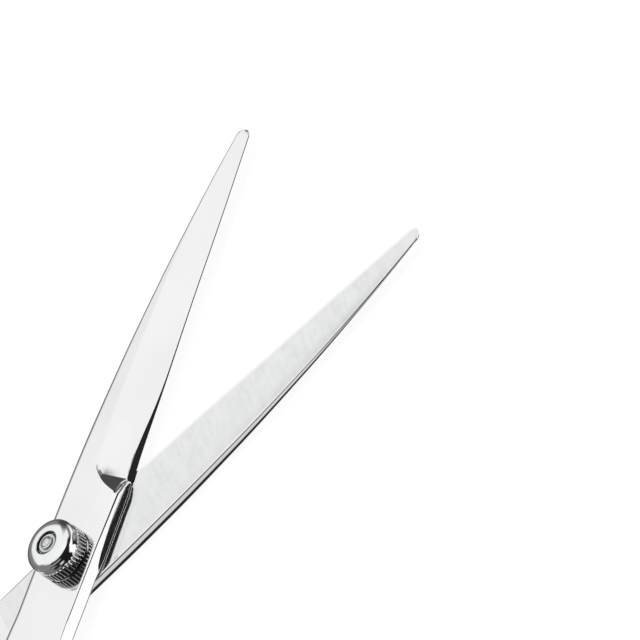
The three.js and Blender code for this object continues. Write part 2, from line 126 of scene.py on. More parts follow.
def lathe(profile, sides, ripple=None):
    """Verts and faces of a turned piece. profile is [(r, z)], on the axis at both ends or closed on itself."""
    pr = np.array(profile, float)
    on_axis = pr[0, 0] <= 1e-6 and pr[-1, 0] <= 1e-6
    mid = pr[1:-1] if on_axis else pr
    a = np.arange(sides) / sides * 2 * np.pi
    r = np.repeat(mid[:, 0][:, None], sides, 1)
    if ripple is not None:
        r = r + ripple(mid[:, 0][:, None], mid[:, 1][:, None], a[None, :])
    v = np.stack([r * np.cos(a), r * np.sin(a), np.repeat(mid[:, 1][:, None], sides, 1)], -1)
    n = len(mid)
    verts = v.reshape(-1, 3)
    faces = grid_faces(n, sides)
    if on_axis:
        verts = np.vstack([verts, [[0, 0, pr[0, 1]], [0, 0, pr[-1, 1]]]])
        i0, i1 = n * sides, n * sides + 1
        for j in range(sides):
            faces.append((i0, (j + 1) % sides, j))
            faces.append((i1, (n - 1) * sides + j, (n - 1) * sides + (j + 1) % sides))
    else:
        for j in range(sides):
            a0, b0 = (n - 1) * sides + j, (n - 1) * sides + (j + 1) % sides
            faces.append((a0, b0, (j + 1) % sides, j))
    return verts, faces


def arc(cx, cz, r, a0, a1, n):
    return [(cx + r * math.cos(math.radians(a)), cz + r * math.sin(math.radians(a))) for a in np.linspace(a0, a1, n)]


def line(p, q, n):
    return [tuple(np.array(p) * (1 - t) + np.array(q) * t) for t in np.linspace(0, 1, n + 1)[1:-1]]


# ------------------------------------------------------------------ materials
def nodes_of(name):
    m = bpy.data.materials.new(name)
    m.use_nodes = True
    nt = m.node_tree
    nt.nodes.clear()
    out = nt.nodes.new("ShaderNodeOutputMaterial")
    p = nt.nodes.new("ShaderNodeBsdfPrincipled")
    nt.links.new(p.outputs[0], out.inputs[0])
    return m, nt, p


def coords(nt, scale, rot_z=0.0):
    tc = nt.nodes.new("ShaderNodeTexCoord")
    r = nt.nodes.new("ShaderNodeMapping")
    r.inputs["Rotation"].default_value = (0, 0, rot_z)
    s = nt.nodes.new("ShaderNodeMapping")
    s.inputs["Scale"].default_value = scale
    nt.links.new(tc.outputs["Object"], r.inputs[0])
    nt.links.new(r.outputs[0], s.inputs[0])
    return s.outputs[0]


def noise(nt, vec, scale=1.0, detail=3.0, rough=0.5, distortion=0.0):
    n = nt.nodes.new("ShaderNodeTexNoise")
    n.inputs["Scale"].default_value = scale
    n.inputs["Detail"].default_value = detail
    n.inputs["Roughness"].default_value = rough
    n.inputs["Distortion"].default_value = distortion
    nt.links.new(vec, n.inputs["Vector"])
    return n.outputs["Fac"]


def ramp(nt, fac, stops):
    r = nt.nodes.new("ShaderNodeValToRGB")
    e = r.color_ramp.elements
    e[0].position, e[0].color = stops[0][0], (*stops[0][1], 1)
    e[1].position, e[1].color = stops[-1][0], (*stops[-1][1], 1)
    for pos, col in stops[1:-1]:
        x = e.new(pos)
        x.color = (*col, 1)
    nt.links.new(fac, r.inputs[0])
    return r.outputs[0]


def maprange(nt, fac, a, b, c, d):
    r = nt.nodes.new("ShaderNodeMapRange")
    for i, v in enumerate((a, b, c, d)):
        r.inputs[i + 1].default_value = v
    nt.links.new(fac, r.inputs[0])
    return r.outputs[0]


def bump(nt, height, strength, distance, normal=None):
    b = nt.nodes.new("ShaderNodeBump")
    b.inputs["Strength"].default_value = strength
    b.inputs["Distance"].default_value = distance
    nt.links.new(height, b.inputs["Height"])
    if normal is not None:
        nt.links.new(normal, b.inputs["Normal"])
    return b.outputs[0]


def mirror_steel(name, rot=0.0, base=(0.875, 0.877, 0.88), rough=(0.045, 0.10), wave=0.5):
    """Polished stainless: very fine buffing marks, a slight waviness and faint handling scratches."""
    m, nt, p = nodes_of(name)
    p.inputs["Metallic"].default_value = 1.0
    broad = noise(nt, coords(nt, (70, 70, 70)), 1, 2, 0.5)
    buff = noise(nt, coords(nt, (900, 240, 900), rot), 1, 5, 0.62)
    scratch = noise(nt, coords(nt, (350, 5200, 350), rot + 0.5), 1, 2, 0.4, 0.4)
    c = [tuple(b * k for b in base) for k in (0.965, 1.0)]
    nt.links.new(ramp(nt, broad, [(0.35, c[0]), (0.65, c[1])]), p.inputs["Base Color"])
    nt.links.new(maprange(nt, buff, 0.3, 0.7, *rough), p.inputs["Roughness"])
    n1 = bump(nt, broad, 0.10 * wave, 0.0006)
    n2 = bump(nt, buff, 0.012, 0.0002, n1)
    sc = ramp(nt, scratch, [(0.72, (0, 0, 0)), (0.80, (1, 1, 1))])
    n3 = bump(nt, sc, 0.02, 0.00004, n2)
    nt.links.new(n3, p.inputs["Normal"])
    return m


def ground_steel(name, rot=0.0, base=(0.80, 0.805, 0.81), rough=(0.065, 0.10), lines=0.045):
    """Fine ground satin, with the wheel's marks straight across the blade."""
    m, nt, p = nodes_of(name)
    p.inputs["Metallic"].default_value = 1.0
    fine = noise(nt, coords(nt, (160, 9000, 160), rot), 1, 3, 0.6)
    mid = noise(nt, coords(nt, (260, 1500, 260), rot + 0.12), 1, 4, 0.65)
    cloud = noise(nt, coords(nt, (420, 420, 420), rot), 1, 6, 0.62)
    mixn = nt.nodes.new("ShaderNodeMath")
    mixn.operation = "ADD"
    nt.links.new(mid, mixn.inputs[0])
    nt.links.new(cloud, mixn.inputs[1])
    c = [tuple(b * k for b in base) for k in (0.93, 0.985, 1.03)]
    nt.links.new(ramp(nt, maprange(nt, mixn.outputs[0], 0.6, 1.4, 0, 1), [(0.2, c[0]), (0.5, c[1]), (0.8, c[2])]), p.inputs["Base Color"])
    nt.links.new(maprange(nt, cloud, 0.3, 0.7, *rough), p.inputs["Roughness"])
    n1 = bump(nt, mid, lines * 0.6, 0.00005)
    n2 = bump(nt, fine, lines, 0.00002, n1)
    nt.links.new(n2, p.inputs["Normal"])
    return m


def radius_mm(nt):
    tc = nt.nodes.new("ShaderNodeTexCoord")
    s = nt.nodes.new("ShaderNodeVectorMath")
    s.operation = "MULTIPLY"
    s.inputs[1].default_value = (1000, 1000, 0)
    nt.links.new(tc.outputs["Object"], s.inputs[0])
    ln = nt.nodes.new("ShaderNodeVectorMath")
    ln.operation = "LENGTH"
    nt.links.new(s.outputs[0], ln.inputs[0])
    return ln.outputs["Value"]


def dial_chrome(name, root_r, tip_r):
    """Bright chrome, turned in fine circles on top."""
    m, nt, p = nodes_of(name)
    p.inputs["Metallic"].default_value = 1.0
    r = radius_mm(nt)
    w = nt.nodes.new("ShaderNodeMath")
    w.operation = "MULTIPLY"
    w.inputs[1].default_value = 62.0
    nt.links.new(r, w.inputs[0])
    s = nt.nodes.new("ShaderNodeMath")
    s.operation = "SINE"
    nt.links.new(w.outputs[0], s.inputs[0])
    cloud = noise(nt, coords(nt, (520, 520, 520)), 1, 4, 0.6)
    nt.links.new(maprange(nt, cloud, 0.3, 0.7, 0.03, 0.06), p.inputs["Roughness"])
    col = ramp(nt, maprange(nt, cloud, 0.3, 0.7, 0, 1), [(0.0, (0.82, 0.825, 0.835)), (1.0, (0.88, 0.885, 0.89))])
    p.inputs["Base Color"].default_value = (0.85, 0.855, 0.86, 1)
    nt.links.new(col, p.inputs["Base Color"])
    n1 = bump(nt, s.outputs[0], 0.03, 0.00002)
    n2 = bump(nt, cloud, 0.02, 0.0001, n1)
    nt.links.new(n2, p.inputs["Normal"])
    return m


def plain_metal(name, base, rough, scale=900, strength=0.08):
    m, nt, p = nodes_of(name)
    p.inputs["Metallic"].default_value = 1.0
    n = noise(nt, coords(nt, (scale, scale, scale * 3)), 1, 4, 0.6)
    nt.links.new(ramp(nt, n, [(0.3, tuple(b * 0.85 for b in base)), (0.7, base)]), p.inputs["Base Color"])
    nt.links.new(maprange(nt, n, 0.3, 0.7, rough * 0.8, rough * 1.2), p.inputs["Roughness"])
    nt.links.new(bump(nt, n, strength, 0.0001), p.inputs["Normal"])
    return m


def dull(name, base, rough, scale=1400, strength=0.25, sheen=False):
    m, nt, p = nodes_of(name)
    n = noise(nt, coords(nt, (scale, scale, scale)), 1, 5, 0.65)
    nt.links.new(ramp(nt, n, [(0.3, tuple(b * 0.75 for b in base)), (0.7, base)]), p.inputs["Base Color"])
    nt.links.new(maprange(nt, n, 0.3, 0.7, rough - 0.08, rough + 0.08), p.inputs["Roughness"])
    nt.links.new(bump(nt, n, strength, 0.00006), p.inputs["Normal"])
    return m


M_A = mirror_steel("polished_finger", -HALF)
M_B = mirror_steel("polished_thumb", HALF)
S_A = ground_steel("ground_finger", -HALF)
S_B = ground_steel("ground_thumb", HALF)
H_A = mirror_steel("honed_finger", -HALF, base=(0.93, 0.935, 0.94), rough=(0.10, 0.16), wave=0.2)
H_B = mirror_steel("honed_thumb", HALF, base=(0.93, 0.935, 0.94), rough=(0.10, 0.16), wave=0.2)
CHROME = dial_chrome("chrome_dial", 4.13, 4.28)
SPRING = plain_metal("spring_steel", (0.42, 0.42, 0.41), 0.3)
TURNED = plain_metal("turned_steel", (0.72, 0.725, 0.73), 0.22)
BRONZE = plain_metal("bronze", (0.70, 0.50, 0.24), 0.3)
NYLON = dull("nylon", (0.85, 0.83, 0.77), 0.5)
RUBBER = dull("rubber", (0.030, 0.030, 0.032), 0.62, 2600, 0.35)


# ------------------------------------------------------------------ blades
# One blade, closed: spine on -X, cutting edge on +X, inner face at z = 0, tip at y = 70.
spine_x = pchip([(-14.2, -5.35), (-6, -5.58), (0, -5.71), (8, -5.81), (15, -5.78), (30, -5.46), (45, -4.60), (52, -3.97), (58, -3.27), (64, -2.42), (68.5, -1.66)])
edge_x = pchip([(-14.2, 5.96), (-11.5, 6.06), (-8, 6.05), (-4, 5.95), (0, 5.85), (3, 5.72), (6, 5.62), (9, 5.50), (10.8, 5.42), (11.6, 5.31), (12.3, 5.17), (12.8, 5.18), (13.3, 5.24), (13.9, 5.18), (14.7, 5.10), (15.5, 5.00), (16.9, 4.83), (28, 4.02), (42, 2.84), (56, 1.88), (64, 1.24), (68.5, 0.86)])
thick = pchip([(-14.2, 2.35), (8, 2.35), (16, 2.28), (30, 1.85), (45, 1.25), (56, 0.80), (66, 0.52), (68.5, 0.45)])
ridge_x = pchip([(-14.2, -1.4), (16, -1.4), (24, -2.0), (37, -2.75), (46, -3.15), (52, -3.15), (58, -2.75), (64, -2.0), (68.5, -1.3)])
bevel_w = pchip([(-14.2, 0.66), (16, 0.66), (20, 0.50), (25, 0.26), (30, 0.14), (40, 0.10), (68.5, 0.08)])
ledge_y = pchip([(-5.4, 16.6), (-2.2, 15.9), (-1.6, 15.1), (-0.95, 14.15), (0.3, 12.92), (2.05, 11.72), (4.2, 10.75), (6.1, 10.03)])


CREASE_Y = 13.25     # the ledge's wall ends in this straight line across the blade
facet_x = pchip([(-14.2, 5.96), (0, 5.85), (6, 5.62), (10.8, 5.36), (13.3, 5.17), (15.5, 5.00), (16.9, 4.83), (28, 4.02), (42, 2.84), (56, 1.88), (64, 1.24), (68.5, 0.86)])
lap_drop = pchip([(-6, 0.0), (0, 0.04), (5, 0.18), (8, 0.27), (10.3, 0.34), (16, 0.34)])     # the lap is buffed down towards its side


def lean(y, zt, z):
    """How far the side has leaned in at height z, and its slope there."""
    q = max(0.0, (z / zt - 0.38) / 0.62)
    top = LEAN * float(smooth(-14.2, -10.0, y)) * min(1.0, zt / 2.0)
    return top * q ** 1.2, (1.2 * top * q ** 0.2 / (0.62 * zt) if q > 0 else 0.0)


def corner(y, zt):
    """Rounding of the lap's top corner: its start height, start slope, radius, and how far in the flat begins."""
    zc = zt - min(float(lap_round(y)), 0.4 * zt)
    off, slope = lean(y, zt, zc)
    tilt = math.atan(slope)
    rad = (zt - zc) / (1 - math.sin(tilt))
    return zc, tilt, rad, off + rad * math.cos(tilt)


LEAN = 0.38
foot_round = pchip([(-14.2, 0.17), (-10, 0.42), (-3, 0.42), (1.5, 0.12), (13, 0.12), (14, 0.3), (70, 0.3)])
lap_round = pchip([(-14.2, 0.17), (-8, 0.22), (0, 0.30), (6, 0.40), (10, 0.46), (12, 0.50), (13.4, 0.30), (70, 0.3)])


def beta_of(y):
    """0 on the lap, 1 where the blade's side is the ground bevel."""
    return float(smooth(12.2, 13.6, y))


def lap_side(xe, zt, y, q):
    """The lap's upright side from the inner face up: round lower corner, wall leaning in, rounded into the top."""
    zc, tilt, rad, ins = corner(y, zt)
    r0 = min(float(foot_round(y)), 0.3 * zt)
    if q < 0.25:
        a = q / 0.25 * math.pi / 2
        return xe - r0 * (1 - math.sin(a)), r0 * (1 - math.cos(a))
    if q < 0.7:
        z = r0 + (zc - r0) * (q - 0.25) / 0.45
        return xe - lean(y, zt, z)[0], z
    a = tilt + (q - 0.7) / 0.3 * (math.pi / 2 - tilt)
    return xe - ins + rad * math.cos(a), zt - rad * (1 - math.sin(a))


SIDE_Q = np.concatenate([np.linspace(0, 0.25, 7, endpoint=False), np.linspace(0.25, 0.70, 9, endpoint=False), np.linspace(0.70, 1, 10, endpoint=False)])


def blade_mesh():
    nom = np.concatenate([np.linspace(WELD_Y, 8, 60), np.arange(8.2, 11.5, 0.14), np.linspace(11.5, 12.0, 9)[:-1], np.linspace(12.0, 13.6, 27)[:-1], np.linspace(13.6, 14.2, 10)[:-1],
                          np.arange(14.2, 19.6, 0.14), np.arange(19.8, 66, 0.55), np.linspace(66.2, 68.5, 10)[:-1]])
    tip = 68.5 + 1.5 * np.sin(np.linspace(0, 0.965 * np.pi / 2, 12))
    nom = np.concatenate([nom, tip])
    N_IN, N_HONE, N_SIDE, N_FAC, N_FLAT, N_FIL, N_SP = 30, 4, len(SIDE_Q), 40, 14, 6, 12
    rings = []
    for yk in nom:
        yt = min(yk, 68.5)
        f = math.sqrt(max(0.0, 1 - ((yk - 68.5) / 1.5) ** 2)) if yk > 68.5 else 1.0
        plain = 1 - smooth(-14.2, -9.0, yk)          # becomes a plain bar at the weld
        pts = []

        def warp(x):
            ly = float(ledge_y(x))
            y = float(np.interp(yk, [7.9, 12.0, 13.6, 20.5], [7.9, ly, max(CREASE_Y, ly + 0.4), 20.5])) if 7.9 < yk < 20.5 else yk
            return yk + (y - yk) * float(smooth(-5.2, -1.6, x))

        xs0 = float(spine_x(yt))
        t0 = float(thick(yt))
        conv = 0.50 * (t0 / 2.35) * (1 - plain)

        def side_x(zeta):
            return xs0 + conv * max(0.0, (zeta - 0.35) / 0.65) ** 2

        rt = (0.055 + 0.02 * plain) * t0
        rb = (0.105 - 0.03 * plain) * t0
        # inner face, spine to hone line
        xin0 = xs0 + rb
        xe0 = float(edge_x(yt))
        hone = min(0.46, 0.2 * (xe0 - xs0))
        xh = xe0 - hone
        for q in np.linspace(0, 1, N_IN, endpoint=False):
            x = xin0 + (xh - xin0) * q
            rr = math.hypot(x, yk)
            grow = 0.035 * float(smooth(9.3, 11.5, rr)) + 0.020 * float(smooth(12, 35, yk))
            d = grow * 4 * q * (1 - q) * (1.0 if yk > 0 else 0.0) * float(np.clip((70 - yk) / 16, 0, 1))
            pts.append((x, yk, d))
        xlow = xe0 - float(foot_round(yk)) * (1 - beta_of(yk))
        for q in np.linspace(0, 1, N_HONE, endpoint=False):
            pts.append((xh + (xlow - xh) * q, yk, 0.0))
        # edge: hone bevel on the blade, upright side with a rounded corner on the lap
        for i, q in enumerate(SIDE_Q):
            y = yk + (warp(xe0) - yk) * q
            yy = min(y, 68.5)
            xe, t = float(edge_x(yy)), float(thick(yy))
            bw, beta = float(bevel_w(yy)), beta_of(y)
            lx, lz = lap_side(xe, top_z(xe - 0.36, yy), y, q)
            bx, bz = xe - bw * q, 0.012 + min(1.19 * bw, 0.5 * t) * q
            if i == 0:
                bz = 0.0
            pts.append((bx * beta + lx * (1 - beta), y, bz * beta + lz * (1 - beta)))
        # facet, from the bevel to the ridge
        ye = min(warp(xe0), 68.5)
        beta, ins = beta_of(ye), corner(ye, top_z(float(edge_x(ye)) - 0.36, ye))[3]
        xa = float(edge_x(ye)) - float(bevel_w(ye)) * beta - ins * (1 - beta)
        xr = float(ridge_x(yt))
        for q in np.linspace(0, 1, N_FAC, endpoint=False):
            x = xa + (xr - xa) * q
            y = warp(x) if q else warp(xe0)
            yy = min(y, 68.5)
            z = top_z(x, yy)
            if q == 0:
                zb = min(1.19 * float(bevel_w(yy)), 0.5 * float(thick(yy)))
                z = zb * beta + top_z(float(edge_x(yy)) - 0.36, yy) * (1 - beta)
            pts.append((x, y, z))
        # flat, from the ridge to the spine
        xr = float(ridge_x(yt))
        xf = side_x(1 - 0.055) + rt
        xr = max(xr, xf + 0.03)
        for q in np.linspace(0, 1, N_FLAT, endpoint=False):
            x = xr + (xf - xr) * q
            y = warp(x)
            roll = 0.019 * t0 * max(0.0, 1 - (x - xf) / 0.30) ** 2
            pts.append((x, y, float(thick(min(y, 68.5))) - roll))
        # spine
        for a in np.linspace(90, 180, N_FIL, endpoint=False):
            a = math.radians(a)
            pts.append((xf + rt * math.cos(a), yk, 0.981 * t0 - rt + rt * math.sin(a)))
        for zeta in np.linspace(0.981 - rt / t0, rb / t0, N_SP, endpoint=False):
            pts.append((side_x(zeta), yk, zeta * t0))
        for a in np.linspace(180, 270, N_FIL, endpoint=False):
            a = math.radians(a)
            pts.append((xs0 + rb + rb * math.cos(a), yk, rb + rb * math.sin(a)))
        ring = np.array(pts)
        if f < 1:
            xm = (spine_x(68.5) + edge_x(68.5)) / 2 + 0.12
            ring[:, 0] = xm + (ring[:, 0] - xm) * f
            ring[:, 2] *= 0.45 + 0.55 * f
        rings.append(ring)
    R = np.array(rings)
    rows, cols = R.shape[:2]
    verts = R.reshape(-1, 3)
    faces = grid_faces(rows, cols)
    slots = []
    for k in range(rows - 1):
        for j in range(cols):
            slots.append(1 if j < N_IN else (2 if j < N_IN + N_HONE else 0))
    faces.append(tuple(range(cols - 1, -1, -1)))
    slots.append(0)
    verts = np.vstack([verts, R[-1].mean(0)[None] + [[0, 0.03, 0]]])
    c = len(verts) - 1
    base = (rows - 1) * cols
    for j in range(cols):
        faces.append((base + j, base + (j + 1) % cols, c))
        slots.append(1 if j < N_IN + N_HONE else 0)
    return verts, faces, slots


def top_z(x, y):
    """Outer surface of the blade: flat lap and spine strip, ground facet, and the scooped ledge between."""
    t = float(thick(y))
    if x <= float(ridge_x(y)):
        return t
    ly = float(ledge_y(x))
    side = float(edge_x(min(y, ly)))
    lap = t - float(lap_drop(min(y, ly))) * min(1.0, max(0.0, (x - 1.5) / (side - 1.8))) ** 2
    if y <= ly:
        return lap
    yc = max(CREASE_Y, ly + 0.6)
    bw = float(bevel_w(y))
    xb, xr = float(facet_x(y)) - bw, float(ridge_x(y))
    hb = min(1.19 * bw, 0.5 * t)
    s = min(1.0, max(0.0, (xb - x) / (xb - xr)))
    zf = hb + (t - hb) * (s + 0.035 * math.sin(math.pi * s))
    hollow = 0.30 * float(smooth(-1.7, 0.3, x)) * (1 - 0.75 * float(smooth(0.0, 4.2, x)))
    if y < yc:
        return lap - (lap - zf) * (y - ly) / (yc - ly)
    d = y - yc
    return zf - hollow * ((1 - (1 - d / 2.2) ** 2) if d < 2.2 else 1 - float(smooth(2.2, 9.0, d)))


def cut(ob, verts_mm, faces, angle):
    """Takes a turned shape out of a mesh."""
    tool = make("tool", verts_mm, faces, angle, [], weighted=False)
    mod = ob.modifiers.new("cut", "BOOLEAN")
    mod.operation, mod.solver, mod.object = "DIFFERENCE", "EXACT", tool
    dg = bpy.context.evaluated_depsgraph_get()
    new = bpy.data.meshes.new_from_object(ob.evaluated_get(dg))
    ob.modifiers.remove(mod)
    old = ob.data
    ob.data = new
    bpy.data.meshes.remove(old)
    t = tool.data
    bpy.data.objects.remove(tool)
    bpy.data.meshes.remove(t)


bv, bf, bs = blade_mesh()


def blade(name, flip, angle, mats, holes):
    v = bv.copy()
    if flip:
        v[:, 0], v[:, 2] = -bv[:, 0], THUMB_Z - bv[:, 2]
    else:
        v[:, 2] = FINGER_Z + bv[:, 2]
    ob = make(name, v, bf, angle, mats, bs, sharp=24, weighted=False)
    for prof in holes:
        hv, hf = lathe(prof, 48)
        cut(ob, hv, hf, angle)
    ob.data.shade_smooth()
    ob.data.set_sharp_from_angle(angle=math.radians(24))
    return ob


finger_blade = blade("finger_blade_ground", False, HALF, [M_A, S_A, H_A], [
    [(0, 0), (3.3, 0), (3.3, 9), (0, 9)], [(0, 1), (4.6, 1), (4.6, FINGER_Z + 0.30), (0, FINGER_Z + 0.30)]])
thumb_blade = blade("thumb_blade_ground", True, -HALF, [M_B, S_B, H_B], [
    [(0, -1), (2.85, -1), (2.85, 4), (0, 4)], [(0, -1), (4.35, -1), (4.35, 0.87), (0, 0.87)]])
for ob, node, body in ((finger_blade, "finger_blade", "finger_half"), (thumb_blade, "thumb_blade", "thumb_half")):
    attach(ob, body)
    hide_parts(node)


# ------------------------------------------------------------------ handles
class Shank:
    """A bar through sections given by their left and right plan points and their z range."""

    def __init__(self, rows, n=190):
        rows = np.array(rows, float)
        u = np.concatenate([[0], np.cumsum(np.hypot(*(np.diff((rows[:, 0:2] + rows[:, 2:4]) / 2, axis=0).T)))])
        q = np.linspace(0, u[-1], n)
        q = np.unique(np.concatenate([q, u]))
        col = [pchip(list(zip(u, rows[:, i])))(q) for i in range(rows.shape[1])]
        L, R = np.stack(col[0:2], -1), np.stack(col[2:4], -1)
        self.M = (L + R) / 2
        H = (R - L) / 2
        self.w = np.hypot(*H.T)
        self.H = H / self.w[:, None]
        self.z0, self.z1, self.round, self.oval = col[4], col[5], col[6], col[7]
        n_ = np.stack([self.H[:, 1], -self.H[:, 0]], -1)
        d = np.gradient(self.M, axis=0)
        sign = np.sign((n_ * d).sum(-1))
        self.N = n_ * sign[:, None]

    def plan(self, xy):
        P = xy[:, None, :] - self.M[None]
        g = (P * self.N[None]).sum(-1)
        lat = (P * self.H[None]).sum(-1)
        turnover = (g[:, :-1] >= 0) & (g[:, 1:] < 0)
        score = np.where(turnover, np.abs(lat[:, :-1]), 1e9)
        k = score.argmin(1)
        none = score.min(1) > 1e8
        i = np.arange(len(xy))
        ga, gb = g[i, k], g[i, k + 1]
        t = np.where(none, 0, ga / np.where(np.abs(ga - gb) < 1e-9, 1, ga - gb))
        before = none & (g[:, 0] < 0)
        after = none & ~before
        last = len(self.w) - 1
        ka = np.where(before, 0, np.where(after, last - 1, k))
        t = np.where(before, 0, np.where(after, 1, np.clip(t, 0, 1)))
        mix = lambda a: a[ka] * (1 - t) + a[ka + 1] * t
        M = self.M[ka] * (1 - t)[:, None] + self.M[ka + 1] * t[:, None]
        Hd = self.H[ka] * (1 - t)[:, None] + self.H[ka + 1] * t[:, None]
        Hd /= np.hypot(*Hd.T)[:, None]
        lateral = ((xy - M) * Hd).sum(-1)
        end = np.maximum(-g[:, 0], g[:, -1])
        end = np.where(before, -g[:, 0], np.where(after, np.maximum(g[:, -1], 0.0), -9.0))
        return lateral, mix(self.w), mix(self.z0), mix(self.z1), mix(self.round), mix(self.oval), end

    @staticmethod
    def field(pl, z):
        lat, w, z0, z1, rnd, oval, end = pl
        zm, hz = (z0 + z1) / 2, (z1 - z0) / 2
        r = np.minimum(rnd, np.minimum(w, hz))
        qx, qz = np.abs(lat) - (w - r), np.abs(z - zm) - (hz - r)
        box = np.hypot(np.maximum(qx, 0), np.maximum(qz, 0)) + np.minimum(np.maximum(qx, qz), 0) - r
        u, v = np.abs(lat) / w, np.abs(z - zm) / hz
        e = 2.25
        n = (u ** e + v ** e) ** (1 / e)
        ell = (n - 1) * np.minimum(w, hz)
        f = box * (1 - oval) + ell * oval
        return np.maximum(f, end)


def bow(xy, z, c, ri=11.0, a=1.43, b=2.5, e=2.35):
    r = np.hypot(xy[:, 0] - c[0], xy[:, 1] - c[1])
    u, v = np.abs(r - ri - a) / a, np.abs(z) / b
    return ((u ** e + v ** e) ** (1 / e) - 1) * a


def polygon_sdf(xy, poly):
    poly = np.array(poly, float)
    a, b = poly, np.roll(poly, -1, 0)
    d = np.full(len(xy), 1e9)
    s = np.ones(len(xy))
    for p, q in zip(a, b):
        e, w = q - p, xy - p
        t = np.clip((w * e).sum(1) / (e * e).sum(), 0, 1)
        dd = ((w - e * t[:, None]) ** 2).sum(1)
        d = np.minimum(d, dd)
        c1, c2, c3 = xy[:, 1] >= p[1], xy[:, 1] < q[1], e[0] * w[:, 1] > e[1] * w[:, 0]
        s = np.where((c1 & c2 & c3) | (~c1 & ~c2 & ~c3), -s, s)
    return s * np.sqrt(d)


def nets(F, lo, h):
    """Surface nets: one vertex in each cell that the surface crosses."""
    nx, ny, nz = F.shape
    corner = {}
    for i in (0, 1):
        for j in (0, 1):
            for k in (0, 1):
                corner[i, j, k] = F[i:nx - 1 + i, j:ny - 1 + j, k:nz - 1 + k]
    cnt = sum((v < 0).astype(int) for v in corner.values())
    act = (cnt > 0) & (cnt < 8)
    ids = -np.ones(act.shape, int)
    ids[act] = np.arange(act.sum())
    acc, num = np.zeros(act.shape + (3,)), np.zeros(act.shape)
    for a in corner:
        for ax in range(3):
            if a[ax]:
                continue
            b = list(a); b[ax] = 1; b = tuple(b)
            fa, fb = corner[a], corner[b]
            x = (fa < 0) != (fb < 0)
            t = np.where(x, fa / np.where(np.abs(fa - fb) < 1e-12, 1, fa - fb), 0)
            for d in range(3):
                acc[..., d] += np.where(x, a[d] + (t if d == ax else 0), 0)
            num += x
    cell = np.stack(np.nonzero(act), -1)
    v = (cell + acc[act] / num[act][:, None]) * h + lo
    quads = []
    for ax in range(3):
        o = [d for d in range(3) if d != ax]
        sl = [slice(None)] * 3
        sl[ax] = slice(0, -1); A = F[tuple(sl)]
        sl[ax] = slice(1, None); Bq = F[tuple(sl)]
        x = (A < 0) != (Bq < 0)
        idx = np.stack(np.nonzero(x), -1)
        ok = (idx[:, o[0]] > 0) & (idx[:, o[1]] > 0) & (idx[:, o[0]] < F.shape[o[0]] - 1) & (idx[:, o[1]] < F.shape[o[1]] - 1)
        idx = idx[ok]
        e0, e1 = np.zeros(3, int), np.zeros(3, int)
        e0[o[0]], e1[o[1]] = 1, 1
        get = lambda p: ids[p[:, 0], p[:, 1], p[:, 2]]
        q = np.stack([get(idx - e0 - e1), get(idx - e1), get(idx), get(idx - e0)], -1)
        neg = F[idx[:, 0], idx[:, 1], idx[:, 2]] < 0
        if ax == 1:
            neg = ~neg
        q[~neg] = q[~neg][:, ::-1]
        quads.append(q[(q >= 0).all(1)])
    return v, np.vstack(quads)


def solid_from(field, lo, hi, h=0.3, passes=2):
    """A closed smooth mesh of field(xyz) = 0, with its points pulled exactly onto the surface."""
    ax = [np.arange(lo[d], hi[d] + h, h) for d in range(3)]
    F = field.grid(ax)
    v, q = nets(F, np.array([a[0] for a in ax]), h)
    nb = np.zeros((len(v), 3)); ct = np.zeros(len(v))
    edges = np.vstack([q[:, [0, 1]], q[:, [1, 2]], q[:, [2, 3]], q[:, [3, 0]]])
    for p in range(passes + 1):
        for _ in range(3):
            f = field.at(v)
            g = np.zeros_like(v)
            for d in range(3):
                e = np.zeros(3); e[d] = 0.02
                g[:, d] = (field.at(v + e) - field.at(v - e)) / 0.04
            g2 = np.maximum((g * g).sum(1), 0.05)
            step = np.clip(f / g2, -0.4, 0.4)
            v = v - g * step[:, None]
        if p < passes:
            nb[:] = 0; ct[:] = 0
            np.add.at(nb, edges[:, 0], v[edges[:, 1]]); np.add.at(nb, edges[:, 1], v[edges[:, 0]])
            np.add.at(ct, edges[:, 0], 1); np.add.at(ct, edges[:, 1], 1)
            v = v * 0.45 + nb / ct[:, None] * 0.55
    return v, q


class Handle:
    def __init__(self, shank, ring, extra=None):
        self.s, self.c, self.extra = Shank(shank), ring, extra

    def plan_parts(self, xy):
        out = []
        for i in range(0, len(xy), 20000):
            out.append(self.s.plan(xy[i:i + 20000]))
        return tuple(np.concatenate([o[k] for o in out]) for k in range(7))

    def value(self, xy, z, pl):
        f = Shank.field(pl, z)
        r = np.hypot(xy[:, 0] - self.c[0], xy[:, 1] - self.c[1])
        g = bow(xy, z, self.c)
        f = np.maximum(f, 11.35 - r)
        f = smin(f, g, 1.1)
        if self.extra is not None:
            f = self.extra(f, xy, z)
        return np.maximum(f, np.abs(z) - 2.54)

    def grid(self, ax):
        X, Y = np.meshgrid(ax[0], ax[1], indexing="ij")
        xy = np.stack([X.ravel(), Y.ravel()], -1)
        pl = self.plan_parts(xy)
        F = np.stack([self.value(xy, np.full(len(xy), z), pl) for z in ax[2]], -1)
        return F.reshape(len(ax[0]), len(ax[1]), len(ax[2]))

    def at(self, p):
        xy = p[:, :2]
        return self.value(xy, p[:, 2], self.plan_parts(xy))


B = GAP / 2
